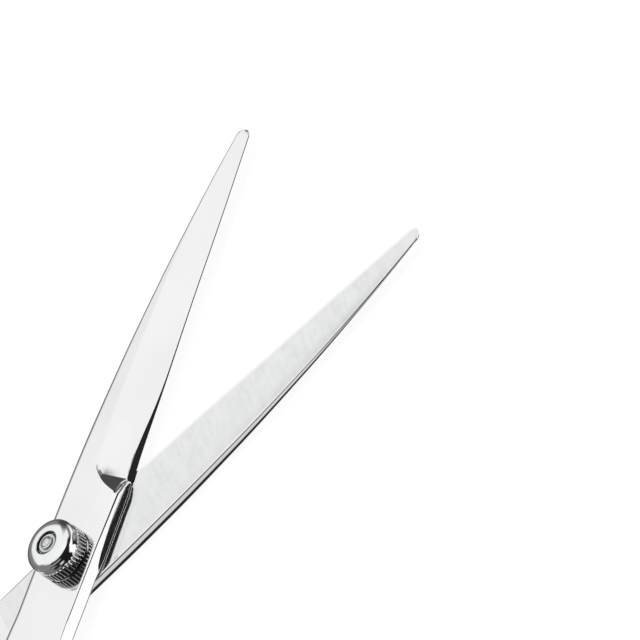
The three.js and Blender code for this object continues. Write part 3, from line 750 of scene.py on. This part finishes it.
# left x, left y, right x, right y, z low, z high, corner radius, 0 boxy .. 1 oval
finger_rows = [
    (-5.35, -12.0, 5.93, -12.0, B, B + LAP_T, 0.16, 0), (-5.35, -14.2, 5.95, -14.2, B, B + LAP_T, 0.16, 0),
    (-2.4, -17.8, 6.05, -16.9, B, B + LAP_T, 0.18, 0), (0.8, -21.3, 6.4, -20.3, B, 2.42, 0.40, 0.0),
    (2.7, -23.5, 6.9, -23.3, -0.5, 2.45, 0.9, 0.4), (4.1, -25.7, 7.3, -25.7, -1.4, 2.40, 1.2, 0.8),
    (4.95, -27.8, 7.85, -28.1, -2.0, 2.3, 1.4, 1), (5.6, -31.0, 8.9, -31.6, -2.1, 2.2, 1.4, 1),
    (5.9, -33.6, 10.2, -34.2, -2.35, 2.35, 1.4, 1), (5.75, -35.9, 11.45, -36.0, -2.55, 2.55, 1.4, 1),
    (5.80, -36.4, 11.40, -36.5, -2.55, 2.55, 1.4, 1), (6.35, -37.3, 10.75, -37.3, -2.12, 2.12, 1.4, 1),
    (7.0, -40.0, 10.75, -40.1, -2.05, 2.05, 1.4, 1), (7.6, -42.0, 10.95, -42.4, -2.05, 2.05, 1.4, 1),
    (8.5, -45.6, 11.8, -46.0, -2.15, 2.15, 1.4, 1), (8.9, -48.8, 13.4, -48.8, -2.25, 2.25, 1.4, 1),
    (8.5, -52.0, 16.4, -51.8, -2.35, 2.35, 1.4, 1), (8.2, -55.2, 19.4, -55.4, -2.2, 2.2, 1.4, 1)]
thumb_rows = [
    (-5.93, -12.0, 5.35, -12.0, -B - LAP_T, -B, 0.16, 0), (-5.95, -14.2, 5.35, -14.2, -B - LAP_T, -B, 0.16, 0),
    (-5.5, -17.0, 3.0, -18.2, -B - LAP_T, -B, 0.18, 0), (-5.2, -20.4, 1.0, -21.4, -2.42, -B, 0.40, 0.0),
    (-5.3, -23.0, -0.7, -24.2, -2.45, 0.5, 0.9, 0.4), (-5.75, -25.4, -2.0, -26.2, -2.4, 1.4, 1.2, 0.8),
    (-6.5, -27.4, -3.0, -28.2, -2.3, 2.0, 1.4, 1), (-7.9, -29.6, -3.8, -30.6, -2.2, 2.2, 1.4, 1),
    (-9.3, -31.4, -4.15, -33.0, -2.55, 2.55, 1.4, 1), (-9.5, -31.9, -4.3, -33.5, -2.55, 2.55, 1.4, 1),
    (-9.3, -33.0, -5.1, -34.5, -2.15, 2.15, 1.4, 1), (-9.6, -35.2, -6.0, -36.4, -2.05, 2.05, 1.4, 1),
    (-10.1, -37.2, -7.0, -38.2, -2.05, 2.05, 1.4, 1), (-11.4, -40.5, -8.25, -41.3, -2.15, 2.15, 1.4, 1),
    (-13.4, -43.6, -9.1, -44.5, -2.25, 2.25, 1.4, 1), (-15.9, -45.9, -9.2, -46.9, -2.35, 2.35, 1.4, 1),
    (-17.8, -48.0, -9.3, -50.4, -2.2, 2.2, 1.4, 1)]
pad = [(-5.0, -55.6), (-4.4, -58.0), (-4.25, -60.0), (-4.25, -67.4), (-3.6, -71.7), (-3.95, -72.3), (-6.3, -72.95), (-11.3, -73.75),
       (-11.9, -71.8), (-8.6, -69.6), (-6.2, -66.8), (-5.2, -63.2), (-5.0, -59.6), (-5.6, -56.6)]


def finger_extra(f, xy, z):
    seat = np.maximum(np.hypot(xy[:, 1] + 64.7, z) - 2.25, np.maximum(1.0 - xy[:, 0], xy[:, 0] - 2.6))
    f = smin(f, seat, 0.35)
    f = np.maximum(f, np.where(np.hypot(xy[:, 1] + 64.7, z) < 2.6, 1.0 - xy[:, 0], -9))
    root = np.maximum(np.hypot(xy[:, 0] - 15.4, z) - 2.15, np.maximum(-81.4 - xy[:, 1], xy[:, 1] + 80.2))
    return smin(f, root, 0.5)


def thumb_extra(f, xy, z):
    d = polygon_sdf(xy, pad)
    a, b = d, np.abs(z) - 2.15
    block = -smin(-a, -b, 0.5)
    f = smin(f, block, 0.5)
    cutx = np.where((xy[:, 1] < -50) & (xy[:, 1] > -68.4), xy[:, 0] + 4.25, -9.0)
    return -smin(-f, -cutx, 0.25)


def handle(name, rows, ring, extra, lo, hi, angle, mats):
    v, q = solid_from(Handle(rows, ring, extra), lo, hi, GRID)
    v = v + [0, 0, Z_MID]
    me = bpy.data.meshes.new(name)
    me.from_pydata(v.tolist(), [], q.tolist())
    bm = bmesh.new()
    bm.from_mesh(me)
    bmesh.ops.bisect_plane(bm, geom=bm.verts[:] + bm.edges[:] + bm.faces[:], dist=1e-5, plane_co=(0, WELD_Y, 0), plane_no=(0, 1, 0), clear_outer=True)
    rim = [e for e in bm.edges if e.is_boundary]
    bmesh.ops.holes_fill(bm, edges=rim, sides=0)
    bmesh.ops.recalc_face_normals(bm, faces=bm.faces)
    for vv in bm.verts:
        c, s = math.cos(angle), math.sin(angle)
        x, y, z = vv.co
        vv.co = ((x * c - y * s) * MM, (x * s + y * c) * MM, z * MM)
    bm.to_mesh(me)
    bm.free()
    for m in mats:
        me.materials.append(m)
    me.shade_smooth()
    me.set_sharp_from_angle(angle=math.radians(50))
    ob = bpy.data.objects.new(name, me)
    bpy.context.scene.collection.objects.link(ob)
    return ob


finger_handle = handle("finger_handle_cast", finger_rows, FINGER_RING, finger_extra, (-7, -83, -3.2), (31, -12, 3.2), HALF, [M_A])
thumb_handle = handle("thumb_handle_cast", thumb_rows, THUMB_RING, thumb_extra, (-33, -76, -3.2), (7.5, -12, 3.2), -HALF, [M_B])
for ob, node, body in ((finger_handle, "finger_handle", "finger_half"), (thumb_handle, "thumb_handle", "thumb_half")):
    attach(ob, body)
    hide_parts(node)


# ------------------------------------------------------------------ finger rest
def tube(path, sides=40, steps=110):
    p = np.array(path, float)
    u = np.concatenate([[0], np.cumsum(np.hypot(*np.diff(p[:, :2], axis=0).T))])
    q = np.linspace(0, u[-1], steps)
    fx, fy, fr = (pchip(list(zip(u, p[:, i]))) for i in range(3))
    # natural smoothing of the plan curve
    x, y = fx(q), fy(q)
    for _ in range(60):
        x[1:-1] = x[1:-1] * 0.5 + (x[:-2] + x[2:]) * 0.25
        y[1:-1] = y[1:-1] * 0.5 + (y[:-2] + y[2:]) * 0.25
    r = fr(q)
    end = u[-1]
    cap = 1.6
    r = r * np.sqrt(np.clip(1 - (np.clip(q - (end - cap), 0, None) / cap) ** 2, 0.0009, 1))
    tx, ty = np.gradient(x), np.gradient(y)
    tx[0], ty[0] = 0, -1
    n = np.hypot(tx, ty)
    nx, ny = -ty / n, tx / n
    a = np.arange(sides) / sides * 2 * np.pi
    flat = 1.0
    v = np.stack([x[:, None] + nx[:, None] * r[:, None] * np.cos(a), y[:, None] + ny[:, None] * r[:, None] * np.cos(a), Z_MID + flat * r[:, None] * np.sin(a)], -1)
    verts = v.reshape(-1, 3)
    faces = grid_faces(steps, sides)
    faces.append(tuple(range(sides - 1, -1, -1)))
    faces.append(tuple((steps - 1) * sides + j for j in range(sides)))
    return verts, faces


rest_path = [(15.4, -81.45, 2.0), (15.4, -82.0, 1.98), (15.5, -83.2, 1.72), (16.0, -86.2, 1.55), (17.4, -90.0, 1.5), (19.9, -93.6, 1.55),
             (23.2, -96.2, 1.66), (26.8, -97.6, 1.85), (29.6, -98.0, 2.0), (31.7, -98.0, 2.0)]
rv, rf = tube(rest_path)
finger_rest = make("finger_rest_tang", rv, rf, HALF, [M_A], sharp=50)
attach(finger_rest, "finger_half")
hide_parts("finger_rest")

# ------------------------------------------------------------------ bumper
prof = [(0, -0.98)] + line((0, -0.98), (2.1, -0.98), 4) + arc(2.1, -0.83, 0.15, -90, 0, 5) + line((2.25, -0.83), (2.25, 0.2), 4)
prof += [(2.25, 0.25), (2.2, 0.33), (2.03, 0.42), (1.98, 0.55), (2.0, 0.75), (2.06, 0.9), (2.2, 1.0), (2.25, 1.1)]
prof += line((2.25, 1.1), (2.25, 3.3), 5) + arc(1.45, 3.3, 0.8, 0, 75, 10) + [(1.2, 4.085), (0.8, 4.1), (0, 4.1)]
pv, pf = lathe(prof, 72)
# the turned axis runs along -X of the closed half, from the finger bow to the thumb bow
q = np.stack([-pv[:, 2], pv[:, 1] - 64.7, pv[:, 0] + Z_MID], -1)
bumper = make("bumper_moulded", q, pf, HALF, [RUBBER], sharp=50)
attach(bumper, "finger_half")
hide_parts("bumper")

# ------------------------------------------------------------------ dial and pivot stack
TEETH = 42


def knurl(z0, z1, depth, fade=0.16, teeth=TEETH, rim=4.0):
    def f(r, z, a):
        k = (1 - smooth(z1 - fade, z1, z)) * (r > rim) * (z >= z0)
        ridge = np.abs(np.cos(teeth * a / 2)) ** 0.55
        return -depth * k * (1 - ridge)
    return f


SIDES = TEETH * 20
R = 4.28
dome = [(2.5 + 1.7 * math.cos(a), 7.9 + 1.3 * math.sin(a)) for a in np.linspace(0, math.pi / 2, 30)]
knob_prof = [(3.10, 5.55)] + line((3.10, 5.55), (3.75, 5.55), 2) + [(3.75, 5.55), (3.75, 5.3), (3.75, 5.12), (3.79, 5.08)] + line((3.79, 5.08), (4.0, 5.08), 2)
knob_prof += [(4.0, 5.08), (4.0, 5.28), (R, 5.28)] + line((R, 5.28), (R, 6.7), 10) + [(R, 6.7)] + line((R, 6.7), (4.265, 7.2), 6) + [(4.265, 7.2), (4.25, 7.35), (4.22, 7.55)]
knob_prof += [(4.205, 7.72)] + dome
knob_prof += line((2.5, 9.2), (1.98, 9.20), 4) + [(1.98, 9.20), (1.92, 9.19), (1.85, 9.16), (1.81, 9.10), (1.80, 9.02)]
knob_prof += [(1.80, 8.7), (1.80, 8.3), (1.80, 8.02), (3.10, 8.02), (3.10, 7.2), (3.10, 6.3)]
kv, kf = lathe(knob_prof, SIDES, knurl(5.25, 7.20, 0.22, 0.42, rim=4.1))
knob = make("tension_dial_knurled", kv, kf, -HALF, [CHROME], sharp=55)
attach(knob, "dial")
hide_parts("tension_knob")

# wavy click spring
ws, wn = 192, 16
a = np.arange(ws) / ws * 2 * np.pi
sec = [(3.35 + 0.195 * math.copysign(abs(math.cos(t)) ** 0.35, math.cos(t)), 0.06 * math.copysign(abs(math.sin(t)) ** 0.6, math.sin(t))) for t in (np.arange(wn) + 0.5) / wn * 2 * np.pi]
wv = np.array([[(r * math.cos(t), r * math.sin(t), 5.385 + 0.07 * math.cos(6 * t) + z) for r, z in sec] for t in a]).reshape(-1, 3)
wf = [(i * wn + j, i * wn + (j + 1) % wn, ((i + 1) % ws) * wn + (j + 1) % wn, ((i + 1) % ws) * wn + j) for i in range(ws) for j in range(wn)]
click_spring = make("click_spring_wave", wv, wf, -HALF, [SPRING], sharp=60)
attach(click_spring, "thumb_half")
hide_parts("click_spring")

# pivot bolt: flat head below, nose in the dial's hole
bolt_prof = [(0, 0.0), (1.0, 0.0), (2.6, 0.0), (3.9, 0.0)] + arc(3.9, 0.28, 0.28, -90, 0, 7) + [(4.18, 0.5), (4.18, 0.72)] + arc(4.10, 0.72, 0.08, 0, 90, 4)
bolt_prof += [(2.7, 0.80), (2.7, 2.40), (2.3, 2.42), (2.3, 4.85), (2.02, 4.88), (2.02, 5.33), (2.3, 5.36)]
for i in range(7):
    z = 5.45 + i * 0.28
    bolt_prof += [(2.3, z), (2.16, z + 0.10), (2.16, z + 0.14), (2.3, z + 0.24)]
bolt_prof += [(2.3, 7.62), (2.2, 7.75), (1.5, 7.75), (1.5, 8.80)] + arc(1.40, 8.84, 0.11, 0, 90, 6) + [(1.28, 8.95), (1.14, 8.93), (0.95, 8.93), (0.86, 8.93), (0.85, 8.9), (0.85, 8.0), (0.85, 5.8), (0, 5.7)]
ov, of_ = lathe(bolt_prof, 96)
bolt = make("pivot_bolt_turned", ov, of_, -HALF, [TURNED], sharp=40)
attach(bolt, "thumb_half")
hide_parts("pivot_bolt")

screw_prof = [(0, 6.0), (0.6, 6.0), (0.75, 6.15), (0.75, 8.5), (0.75, 8.97), (1.00, 8.98), (1.02, 9.02), (1.02, 9.12), (0.99, 9.17), (0.93, 9.20), (0.84, 9.215), (0.80, 9.24), (0.79, 9.29)]
screw_prof += [(0.79 * math.cos(a), 9.29 + 0.165 * math.sin(a)) for a in np.linspace(0.12, math.pi / 2, 12)][:-1] + [(0, 9.455)]
sv, sf = lathe(screw_prof, 64)
screw = make("lock_screw_turned", sv, sf, -HALF, [TURNED], sharp=45)
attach(screw, "thumb_half")
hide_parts("lock_screw")

# pieces that stay as the CAD made them, all closed in or between others
for node, mat in (("finger_rest_stud", TURNED), ("bumper_stud", TURNED), ("click_plate", TURNED), ("pivot_bush", BRONZE), ("ride_washer", NYLON),
                  ("disc_spring_lower", SPRING), ("disc_spring_upper", SPRING), ("knob_insert", BRONZE)):
    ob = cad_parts[node]
    ob.data.materials.clear()
    ob.data.materials.append(mat)
    ob.data.shade_smooth()
    ob.data.set_sharp_from_angle(angle=math.radians(35))

# ------------------------------------------------------------------ floor
me = bpy.data.meshes.new("floor")
S = 12.0
me.from_pydata([(-S, -S, -0.00003), (S, -S, -0.00003), (S, S, -0.00003), (-S, S, -0.00003)], [], [(0, 1, 2, 3)])
floor = bpy.data.objects.new("floor", me)
bpy.context.scene.collection.objects.link(floor)
fm = bpy.data.materials.new("pale_table")
fm.use_nodes = True
nt = fm.node_tree
nt.nodes.clear()
out = nt.nodes.new("ShaderNodeOutputMaterial")
dif = nt.nodes.new("ShaderNodeBsdfDiffuse")
dif.inputs[0].default_value = (0.80, 0.80, 0.80, 1)
glow = nt.nodes.new("ShaderNodeEmission")
glow.inputs[0].default_value = (1, 1, 1, 1)
glow.inputs[1].default_value = 0.93
dif2 = nt.nodes.new("ShaderNodeBsdfDiffuse")
dif2.inputs[0].default_value = (0.12, 0.12, 0.12, 1)
add = nt.nodes.new("ShaderNodeAddShader")
nt.links.new(glow.outputs[0], add.inputs[0])
nt.links.new(dif2.outputs[0], add.inputs[1])
lp = nt.nodes.new("ShaderNodeLightPath")
mx = nt.nodes.new("ShaderNodeMixShader")
nt.links.new(lp.outputs["Is Camera Ray"], mx.inputs[0])
nt.links.new(dif.outputs[0], mx.inputs[1])
nt.links.new(add.outputs[0], mx.inputs[2])
nt.links.new(mx.outputs[0], out.inputs[0])
me.materials.append(fm)
floor.visible_glossy = False

# ------------------------------------------------------------------ soft studio
C_EL, C_AZ, C_ROLL = math.radians(38.98), math.radians(-2.81), math.radians(54.60)
cdir = Vector((math.cos(C_EL) * math.cos(C_AZ), math.cos(C_EL) * math.sin(C_AZ), math.sin(C_EL)))

world = bpy.data.worlds.new("studio")
bpy.context.scene.world = world
world.use_nodes = True
nt = world.node_tree
nt.nodes.clear()
wo = nt.nodes.new("ShaderNodeOutputWorld")
tc = nt.nodes.new("ShaderNodeTexCoord")
sep = nt.nodes.new("ShaderNodeSeparateXYZ")
nt.links.new(tc.outputs["Generated"], sep.inputs[0])


def fn(op, *args):
    m = nt.nodes.new("ShaderNodeMath")
    m.operation = op
    for i, v in enumerate(args):
        if isinstance(v, (int, float)):
            m.inputs[i].default_value = v
        else:
            nt.links.new(v, m.inputs[i])
    return m.outputs[0]


def grey(fac, stops, span):
    lo_, hi_ = span
    r = ramp(nt, maprange(nt, fac, lo_, hi_, 0, 1), [((a - lo_) / (hi_ - lo_), (v,) * 3) for a, v in stops])
    b = nt.nodes.new("ShaderNodeRGBToBW")
    nt.links.new(r, b.inputs[0])
    return b.outputs[0]


el = fn("MULTIPLY", fn("ARCSINE", sep.outputs["Z"]), 180 / math.pi)
az = fn("MULTIPLY", fn("ARCTAN2", sep.outputs["Y"], sep.outputs["X"]), 180 / math.pi)
# the room, sector by sector round the horizon: (azimuths where it begins and ends, brightness up the elevation)
LOW = [(-90, 0.02), (-56, 0.02), (-46, 1.1), (-36, 1.2)]
SECTORS = [
    ((-78, -66, -26, -18), [(-90, 1.1), (-77, 1.1), (-70, 0.02), (-48, 0.02), (-42, 0.72), (-34, 0.78), (-27, 0.012), (5, 0.012), (11, 0.30), (24, 0.30), (31, 0.012), (43, 0.012), (54, 1.0), (90, 1.05)]),
    ((-26, -18, 16, 24), [(-90, 0.02), (-60, 0.02), (-54, 1.0), (-48, 1.0), (-41, 0.012), (43, 0.012), (54, 1.0), (90, 1.05)]),
    ((16, 24, 66, 80), LOW + [(7, 1.15), (12, 0.02), (43, 0.02), (50, 1.1), (90, 1.1)]),
    ((66, 80, 114, 126), LOW + [(6, 0.95), (12, 0.24), (31, 0.25), (37.5, 1.0), (90, 1.05)]),
    ((114, 126, 146, 158), [(-90, 1.15), (-50, 1.15), (-36, 0.5), (-28, 0.07), (27, 0.07), (40, 0.22), (58, 1.0), (90, 1.05)]),
    ((-132, -120, -78, -66), [(-90, 1.1), (-36, 1.1), (-25, 0.25), (38, 0.22), (50, 1.0), (90, 1.05)]),
]
# the dark front wall slopes off to the right
slope = fn("MULTIPLY", grey(az, [(-180, 0), (15.9, 0), (16, 1), (38, 0), (180, 0)], (-180, 180)), 48)
bent = fn("MINIMUM", fn("ADD", el, slope), fn("MAXIMUM", el, 25))
total = None
for (a0, a1, b0, b1), stops in SECTORS:
    weight = grey(az, [(-180, 0), (a0, 0), (a1, 1), (b0, 1), (b1, 0), (180, 0)], (-180, 180))
    part = fn("MULTIPLY", weight, grey(bent if a0 == 16 else el, stops, (-90, 90)))
    total = part if total is None else fn("ADD", total, part)
# behind the shears, seen from the camera: the sector that crosses +-180
weight = grey(az, [(-180, 1), (-132, 1), (-120, 0), (146, 0), (158, 1), (180, 1)], (-180, 180))
back = grey(el, [(-90, 1.1), (-64, 1.1), (-56, 0.02), (-34, 0.02), (-20, 0.12), (0, 0.16), (22, 0.26), (29, 0.20), (35, 0.85), (37.5, 1.0), (90, 1.05)], (-90, 90))
total = fn("ADD", total, fn("MULTIPLY", weight, back))
bg = nt.nodes.new("ShaderNodeBackground")
nt.links.new(total, bg.inputs["Color"])
bg.inputs["Strength"].default_value = 1.0
pale = nt.nodes.new("ShaderNodeBackground")
pale.inputs["Color"].default_value = (1, 1, 1, 1)
pale.inputs["Strength"].default_value = 1.02
lp = nt.nodes.new("ShaderNodeLightPath")
mx = nt.nodes.new("ShaderNodeMixShader")
nt.links.new(lp.outputs["Is Camera Ray"], mx.inputs[0])
nt.links.new(bg.outputs[0], mx.inputs[1])
nt.links.new(pale.outputs[0], mx.inputs[2])
nt.links.new(mx.outputs[0], wo.inputs[0])

soft = bpy.data.lights.new("softbox", "AREA")
soft.shape, soft.size, soft.size_y = "RECTANGLE", 0.9, 0.9
soft.energy = 6.0
so = bpy.data.objects.new("softbox", soft)
so.location = (-0.15, 0.10, 0.9)
so.rotation_euler = (Vector((0, 0, 0)) - so.location).to_track_quat("-Z", "Y").to_euler()
so.visible_glossy = False
bpy.context.scene.collection.objects.link(so)

# ------------------------------------------------------------------ camera
D = 1.5
PX_PER_MM = 6.963
right0 = Vector((0, 0, 1)).cross(cdir).normalized()
up0 = cdir.cross(right0)
right = right0 * math.cos(C_ROLL) - up0 * math.sin(C_ROLL)
up = right0 * math.sin(C_ROLL) + up0 * math.cos(C_ROLL)
pivot = Vector((0, 0, Z_MID * MM))
centre = pivot + right * ((320 - 75.8) / PX_PER_MM * MM) + up * ((562.4 - 320) / PX_PER_MM * MM)
cam_data = bpy.data.cameras.new("camera")
cam = bpy.data.objects.new("camera", cam_data)
bpy.context.scene.collection.objects.link(cam)
cam.rotation_mode = "QUATERNION"
cam.rotation_quaternion = Matrix((right, up, cdir)).transposed().to_quaternion()
cam.location = centre + cdir * D
cam_data.sensor_width = 36
cam_data.lens = 36 * D / (640 / PX_PER_MM * MM)
cam_data.clip_start, cam_data.clip_end = 0.05, 30
bpy.context.scene.camera = cam

bpy.context.scene.view_settings.view_transform = "Standard"
bpy.context.scene.view_settings.look = "None"
